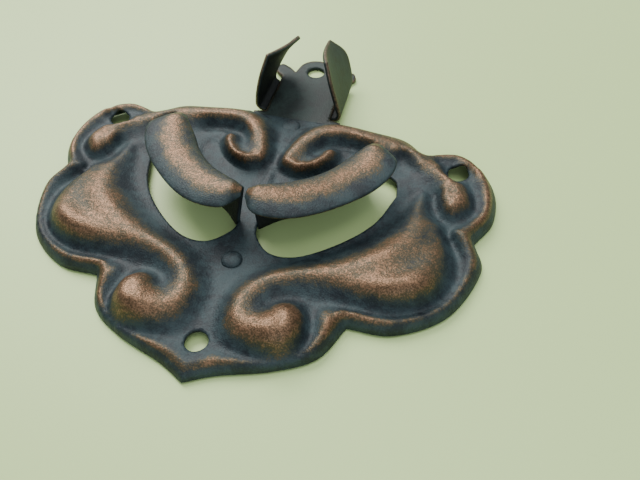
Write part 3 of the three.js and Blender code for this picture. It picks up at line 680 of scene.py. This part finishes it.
# ---------------------------------------------------------------------------------------------
# Hoods: each is the tongue of the slot, left joined along the slot's far edge, drawn up and
# rolled forward over it as a crescent visor. Rubbed copper on the crown, its band and free edge also
# a painted highlight, with painted shade ahead of that edge and near-black painted shade underneath.
# ---------------------------------------------------------------------------------------------
ROOT_CLEAR = 0.7                # from the slot's edge to the middle of the hood's sheet
HOOD_BACK = [(0.8, 1, 9.5), (4.8, 3, 9.2), (9.2, 5.8, 8.5), (13.4, 10, 7.8), (16.4, 14.4, 7.6),
             (19.8, 18.8, 8.2)]
HOOD_FRONT = [(0.6, -0.8, 9.6), (3.4, -4.4, 9.8), (10, -3.8, 9.6), (17, 0.8, 9.1), (23.4, 7.6, 8.9),
              (25.8, 14.2, 9.2), (22.2, 19, 8.6)]
HOOD_RISER = 0.3                # share of the section that is the upright root
BACK_RISE = 2.4                 # how steeply the crown leaves the root, and meets the free edge
FRONT_RISE = 1.9
FRONT_DRAW = 0.3
FULL_CHORD = 5.0                # where the hood is narrower than this its crown is lower
HOOD_MESH = (84, 36)            # steps along the hood and over its section
TINY_SHARE = 1e-3               # of a surface's length, for the slopes
ROUND_BULGE = 0.2               # how far the edge of a bent sheet stands out, as a share of gauge
UNDER_HOOD_PAINTED_SHADE = -0.5          # below nought is near black: painted shade under the hood
HOOD_WORN = 0.30                # wear of the crown, and what its rubbed band adds, a band that is also a painted highlight
HOOD_RUB_AND_HIGHLIGHT = 0.34
HOOD_RUB_AND_HIGHLIGHT_PLACE = 0.55          # share of the way over the crown
HOOD_RUB_AND_HIGHLIGHT_HALF = 0.17
HOOD_LIP_SHADE_FADE = 0.28            # the crown darkens as painted shade over this share ahead of its free edge, down to this part of its wear
HOOD_LIP_SHADE_LEAST = 0.1            # down to this part of its wear
HOOD_ROOT_DARK = 0.12           # and is dark up to this share of the section, then brightens
HOOD_ROOT_FADE = 0.25
HOOD_LIP = 0.95                 # share of the way over the crown where the free edge begins
HOOD_EDGE_WEAR_AND_HIGHLIGHT = 0.75           # wear of that edge, also a painted highlight, and of the sheet's other edges
HOOD_SIDE_WORN = 0.1


def curve_at(points, shares):
    """The curve through the rows at shares of its own parameter."""
    rows, padded = with_end_points(points)
    spot = np.clip(shares, 0, 1) * (len(rows) - 1)
    leg = np.minimum(spot.astype(int), len(rows) - 2)
    return curve_between(*(padded[leg + k] for k in range(4)), (spot - leg)[:, None])


def grid_faces(rows, cols):
    index = np.arange((rows + 1) * (cols + 1)).reshape(rows + 1, cols + 1)
    quads = np.stack([index[:-1, :-1], index[1:, :-1], index[1:, 1:], index[:-1, 1:]], -1).reshape(-1, 4)
    return np.vstack([quads[:, [0, 1, 2]], quads[:, [0, 2, 3]]])


def hood_surface(u, v):
    """Middle of the hood's sheet: u runs along the slot, v up the root and over the crown."""
    foot = curve_at(HOOD_ROOT, u)
    ahead = (curve_at(HOOD_ROOT, np.minimum(u + TINY_SHARE, 1))
             - curve_at(HOOD_ROOT, np.maximum(u - TINY_SHARE, 0)))
    ahead /= np.linalg.norm(ahead, axis=1, keepdims=True)
    start = np.column_stack([foot[:, 0] + ahead[:, 1] * ROOT_CLEAR, foot[:, 1] - ahead[:, 0] * ROOT_CLEAR,
                             np.full(len(u), GROUND - SHEET)])
    back = curve_at(HOOD_BACK, u)
    front = curve_at(HOOD_FRONT, u)
    climb = np.clip(v / HOOD_RISER, 0, 1)[:, None]
    t = np.clip((v - HOOD_RISER) / (1 - HOOD_RISER), 0, 1)[:, None]
    chord = front - back
    full = np.clip(np.linalg.norm(chord, axis=1, keepdims=True) / FULL_CHORD, 0, 1) * (0, 0, 1)
    rear_pull = back + full * BACK_RISE
    front_pull = front - chord * FRONT_DRAW + full * FRONT_RISE
    crown = ((1 - t) ** 3 * back + 3 * (1 - t) ** 2 * t * rear_pull + 3 * (1 - t) * t ** 2 * front_pull
             + t ** 3 * front)
    return np.where((v < HOOD_RISER)[:, None], start + (back - start) * climb, crown)


def bent_sheet(name, surface, size, gauge, wear_and_light_of):
    """A closed sheet of even gauge about a middle surface given over u and v."""
    rows, cols = size
    grid = np.meshgrid(np.arange(rows + 1) / rows, np.arange(cols + 1) / cols, indexing="ij")
    u, v = (g.ravel() for g in grid)
    u_low, u_high = np.maximum(u - TINY_SHARE, 0), np.minimum(u + TINY_SHARE, 1)
    v_low, v_high = np.maximum(v - TINY_SHARE, 0), np.minimum(v + TINY_SHARE, 1)
    across = np.cross(surface(u_high, v) - surface(u_low, v), surface(u, v_high) - surface(u, v_low))
    normal = across / np.linalg.norm(across, axis=1, keepdims=True)
    middle = surface(u, v)
    half = normal * gauge / 2
    return closed_sheet(name, middle + half, middle - half, grid_faces(rows, cols), middle, normal,
                        gauge * ROUND_BULGE, wear_and_light_of(u, v))


def mirror_piece(piece, name):
    """The same piece on the other side of the centre line."""
    mesh = piece.data.copy()
    mesh.name = name
    mesh.transform(Matrix.Scale(-1, 4, (1, 0, 0)))
    mesh.flip_normals()
    twin = bpy.data.objects.new(name, mesh)
    bpy.context.scene.collection.objects.link(twin)
    return twin


def hood_wear_and_painted_light(u, v):
    """Underside, top and edges: the underside is near-black painted shade; the top is rubbed in a band
    ahead of the crown's middle that is also a painted highlight, and darkened as painted shade ahead of its
    free edge, whose wear is also a painted highlight.
    """
    crown = np.clip((v - HOOD_RISER) / (1 - HOOD_RISER), 0, 1)
    top = HOOD_WORN + HOOD_RUB_AND_HIGHLIGHT * np.exp(-((crown - HOOD_RUB_AND_HIGHLIGHT_PLACE) / HOOD_RUB_AND_HIGHLIGHT_HALF) ** 2)
    top = top * np.clip((1.0 - crown) / HOOD_LIP_SHADE_FADE, HOOD_LIP_SHADE_LEAST, 1)
    top = top * np.clip((v - HOOD_ROOT_DARK) / HOOD_ROOT_FADE, 0, 1)
    edges = np.where(crown > HOOD_LIP, HOOD_EDGE_WEAR_AND_HIGHLIGHT, HOOD_SIDE_WORN)
    return np.full(len(u), UNDER_HOOD_PAINTED_SHADE), top, edges


right_hood = bent_sheet("rolled_hood_right", hood_surface, HOOD_MESH, SHEET, hood_wear_and_painted_light)
left_hood = mirror_piece(right_hood, "rolled_hood_left")
for hood, node in ((right_hood, "right_hood"), (left_hood, "left_hood")):
    hood.data.materials.append(COPPER)
    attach(hood, "plate")
    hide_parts(node)

# ---------------------------------------------------------------------------------------------
# Clip strap: blackened sheet behind the face plate, a narrow tail behind the bridge and a wide
# body that leaves the top edge and ends in a screw lug.
# ---------------------------------------------------------------------------------------------
STRAP_GAUGE = 0.9
LUG_SCREW = (0, 50.3)
TAIL_PAD = [(0, -13), (2.6, -12.2), (3.1, -10), (2.4, -7.8)]
TAIL = [(1.2, -5.6), (1.2, 7), (3.4, 16), (8.6, 27)]
STRAP_SIDE_X = 7.6
SHOULDER = [(10.3, 30.5), (10.2, 33.2), (STRAP_SIDE_X, 33.7)]
SIDE_EAR = [(STRAP_SIDE_X, 47.4), (8.4, 47.9), (10, 49.8), (9, 51.9), (6.8, 51)]
END_LUG = [(4.9, 49.4), (4, 52.8), (2.2, 54.5), (0, 55)]
STRAP_STEP = 0.6
STRAP_WORN = 0.10               # wear of the flat, and what its edges add
STRAP_EDGE_WORN = 0.45
STRAP_EDGE_FADE = 0.5


def straight_line(points, step):
    """Straight runs through the points, less the last one, in steps."""
    line = []
    for a, b in zip(points[:-1], points[1:]):
        a, b = np.array(a, float), np.array(b, float)
        count = max(1, int(round(np.linalg.norm(b - a) / step)))
        line += [tuple(a + (b - a) * i / count) for i in range(count)]
    return line


strap_half = [tuple(p) for arc in (TAIL_PAD, TAIL) for p in smooth_curve(arc, STRAP_STEP)]
strap_half += straight_line(SHOULDER + [SIDE_EAR[0]], STRAP_STEP)
strap_half += [tuple(p) for arc in (SIDE_EAR, END_LUG) for p in smooth_curve(arc, STRAP_STEP)]
STRAP_OUTLINE = mirrored_loop(strap_half)
strap_loops = [STRAP_OUTLINE, circle_loop(*LUG_SCREW, SCREW_R), *rivet_holes]
strap_plan, strap_faces = triangulate(strap_loops, STRAP_STEP)
strap_top = np.column_stack([strap_plan, np.full(len(strap_plan), STRAP_GAUGE)])
strap_edge = loop_distance(strap_plan, STRAP_OUTLINE)
strap_worn = STRAP_WORN + STRAP_EDGE_WORN * np.exp(-strap_edge / STRAP_EDGE_FADE)
clip_strap = pressed_sheet("blackened_clip_strap", strap_top, strap_faces, STRAP_GAUGE, strap_worn)
BLACKENED = oxidised_metal(
    "blackened_copper", bare=(0.11, 0.075, 0.052), bright=(0.22, 0.15, 0.11),
    olive=(0.030, 0.034, 0.020), patina=(0.022, 0.040, 0.034), deep=(0.008, 0.015, 0.013),
    ragged=0.7, metal=(0.2, 0.7), rough=(0.58, 0.45), tooth=0.6)
clip_strap.data.materials.append(BLACKENED)
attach(clip_strap, "plate")
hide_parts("clip_strap")

# ---------------------------------------------------------------------------------------------
# Prongs: the two sides of the strap, cut free, bent upright and rolled towards each other so
# that they spring apart over whatever is pushed between them.
# ---------------------------------------------------------------------------------------------
PRONG_FOOT = STRAP_SIDE_X + 0.3
PRONG_BEND = 1.9                # radius of the bend at the foot
PRONG_NEAR = [(34.4, 0), (33.8, 5), (34, 10), (35.6, 14.2)]     # the two sides as y, z
PRONG_FAR = [(45.4, 0), (49.4, 3.4), (51.6, 6.4), (49.6, 10.2)]
PRONG_LEAN_NEAR = 0.062         # how far each side leans in, for the 1.5th power of its height
PRONG_LEAN_FAR = 0.19
PRONG_MESH = (40, 40)
PRONG_SIZE = (12, 14)           # along the strap and up, for the wear at the edges
PRONG_WORN = 0.16
PRONG_EDGE_ADDS = 0.4
PRONG_EDGE_FADE = 0.7
# the prongs' inner faces are painted shade: below nought is near black
PRONG_INSIDE_PAINTED_SHADE = -0.45
PRONG_RIM_WORN = 0.6


def prong_surface(u, v):
    """Middle of the prong's sheet: u runs along the strap, v up the prong."""
    near = curve_at(PRONG_NEAR, v)
    far = curve_at(PRONG_FAR, v)
    y = near[:, 0] + (far[:, 0] - near[:, 0]) * u
    z = np.maximum(near[:, 1] + (far[:, 1] - near[:, 1]) * u, 0)
    lean = (PRONG_LEAN_NEAR + (PRONG_LEAN_FAR - PRONG_LEAN_NEAR) * u) * z ** 1.5
    bend = PRONG_BEND * np.sqrt(1 - (1 - np.clip(z / PRONG_BEND, 0, 1)) ** 2)
    return np.column_stack([PRONG_FOOT + bend - lean, y, STRAP_GAUGE / 2 + z])


def prong_wear_and_painted_shade(u, v):
    """Outer face, inner face and edges; the inner face is near-black painted shade."""
    edge = np.minimum(np.minimum(u, 1 - u) * PRONG_SIZE[0], (1 - v) * PRONG_SIZE[1])
    rubbed = PRONG_WORN + PRONG_EDGE_ADDS * np.exp(-edge / PRONG_EDGE_FADE)
    return rubbed, np.full(len(u), PRONG_INSIDE_PAINTED_SHADE), np.full(len(u), PRONG_RIM_WORN)


right_prong = bent_sheet("sprung_prong_right", prong_surface, PRONG_MESH, STRAP_GAUGE, prong_wear_and_painted_shade)
left_prong = mirror_piece(right_prong, "sprung_prong_left")
for prong, node in ((right_prong, "right_prong"), (left_prong, "left_prong")):
    prong.data.materials.append(BLACKENED)
    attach(prong, node)
    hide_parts(node)

# ---------------------------------------------------------------------------------------------
# Rivets: two low copper domes on the centre line, as dark as the ground they sit on. The lower
# one's shank ends flush behind the strap. The upper one is hammered nearly flat and is shorter.
# ---------------------------------------------------------------------------------------------
RIVET_HEAD_R = 2.0
RIVET_HEAD_H = 0.9
RIVET_R = 0.8
RIVET_UNDERCUT = -0.06          # a head is cut flat this share of its height below its middle
UPPER_SHARE = 0.55              # height of the upper rivet against the lower
UPPER_SINK = -0.35              # the upper one sits lower, on the dressed edge
RIVET_WORN = 0.12


def rivet_tree(name, inputs):
    """An empty geometry tree, with the sockets that it is given and its result."""
    tree = bpy.data.node_groups.new(name, "GeometryNodeTree")
    for label, kind in inputs:
        tree.interface.new_socket(label, in_out="INPUT", socket_type=kind)
    tree.interface.new_socket("Geometry", in_out="OUTPUT", socket_type="NodeSocketGeometry")
    return tree, tree.nodes.new("NodeGroupInput").outputs, tree.nodes.new("NodeGroupOutput").inputs


rivets_tree, given, result = rivet_tree("rivet_row", [
    ("Head radius", "NodeSocketFloat"), ("Head height", "NodeSocketFloat"),
    ("Shank radius", "NodeSocketFloat"), ("Shank length", "NodeSocketFloat"),
    ("First place", "NodeSocketVector"), ("Last place", "NodeSocketVector"),
    ("Last head share", "NodeSocketFloat"), ("Worn", "NodeSocketFloat"), ("Finish", "NodeSocketMaterial")])
ball = add_node(rivets_tree, "GeometryNodeMeshUVSphere", [("Segments", 48), ("Rings", 28), ("Radius", 1.0)])
ball_place = add_node(rivets_tree, "GeometryNodeInputPosition").outputs[0]
unit = add_node(rivets_tree, "ShaderNodeSeparateXYZ", [(0, ball_place)])
flat_under = add_math(rivets_tree, "MAXIMUM", unit.outputs["Z"], RIVET_UNDERCUT)
head_place = add_node(rivets_tree, "ShaderNodeCombineXYZ", [
    ("X", add_math(rivets_tree, "MULTIPLY", unit.outputs["X"], given["Head radius"])),
    ("Y", add_math(rivets_tree, "MULTIPLY", unit.outputs["Y"], given["Head radius"])),
    ("Z", add_math(rivets_tree, "MULTIPLY", flat_under, given["Head height"]))])
head = add_node(rivets_tree, "GeometryNodeSetPosition", [
    ("Geometry", ball.outputs["Mesh"]), ("Position", head_place.outputs[0])])
shank = add_node(rivets_tree, "GeometryNodeMeshCylinder", [
    ("Vertices", 32), ("Radius", given["Shank radius"]), ("Depth", given["Shank length"])])
shank_drop = add_node(rivets_tree, "ShaderNodeCombineXYZ", [
    ("Z", add_math(rivets_tree, "MULTIPLY", given["Shank length"], -0.5))])
shank_placed = add_node(rivets_tree, "GeometryNodeTransform", [
    ("Geometry", shank.outputs["Mesh"]), ("Translation", shank_drop.outputs[0])])
rivet_whole = add_node(rivets_tree, "GeometryNodeJoinGeometry", [("Geometry", shank_placed.outputs[0])])
rivets_tree.links.new(head.outputs[0], rivet_whole.inputs[0])
places = add_node(rivets_tree, "GeometryNodeMeshLine", [
    ("Count", 2), ("Start Location", given["First place"]), ("Offset", given["Last place"])],
    mode="END_POINTS")
which = add_node(rivets_tree, "GeometryNodeInputIndex").outputs[0]
head_share = add_math(rivets_tree, "POWER", given["Last head share"], which)
stretch = add_node(rivets_tree, "ShaderNodeCombineXYZ", [("X", 1.0), ("Y", 1.0), ("Z", head_share)])
row = add_node(rivets_tree, "GeometryNodeInstanceOnPoints", [
    ("Points", places.outputs["Mesh"]), ("Instance", rivet_whole.outputs[0]),
    ("Scale", stretch.outputs[0])])
solid = add_node(rivets_tree, "GeometryNodeRealizeInstances", [("Geometry", row.outputs[0])])
smooth = add_node(rivets_tree, "GeometryNodeSetShadeSmooth", [("Geometry", solid.outputs[0])])
marked = add_node(rivets_tree, "GeometryNodeStoreNamedAttribute", [
    ("Geometry", smooth.outputs[0]), ("Name", "wear_and_painted_light"), ("Value", given["Worn"])], data_type="FLOAT")
finished = add_node(rivets_tree, "GeometryNodeSetMaterial", [
    ("Geometry", marked.outputs[0]), ("Material", given["Finish"])])
rivets_tree.links.new(finished.outputs[0], result["Geometry"])

dome_rivets = bpy.data.objects.new("dome_rivets", bpy.data.meshes.new("dome_rivets"))
bpy.context.scene.collection.objects.link(dome_rivets)
riveting = dome_rivets.modifiers.new("rivet_row", "NODES")
riveting.node_group = rivets_tree
sockets = [item for item in rivets_tree.interface.items_tree if item.in_out == "INPUT"]
socket_of = {item.name: item.identifier for item in sockets}
for label, value in (
        ("Head radius", RIVET_HEAD_R * MM), ("Head height", RIVET_HEAD_H * MM),
        ("Shank radius", RIVET_R * MM), ("Shank length", GROUND * MM),
        ("First place", (0, LOWER_RIVET_Y * MM, GROUND * MM)),
        ("Last place", (0, UPPER_RIVET_Y * MM, (GROUND + UPPER_SINK) * MM)),
        ("Last head share", UPPER_SHARE), ("Worn", RIVET_WORN), ("Finish", COPPER)):
    riveting[socket_of[label]] = value
baked = bpy.data.meshes.new_from_object(dome_rivets.evaluated_get(bpy.context.evaluated_depsgraph_get()))
dome_rivets.modifiers.clear()
dome_rivets.data = baked
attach(dome_rivets, "plate")
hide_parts("lower_rivet", "upper_rivet")
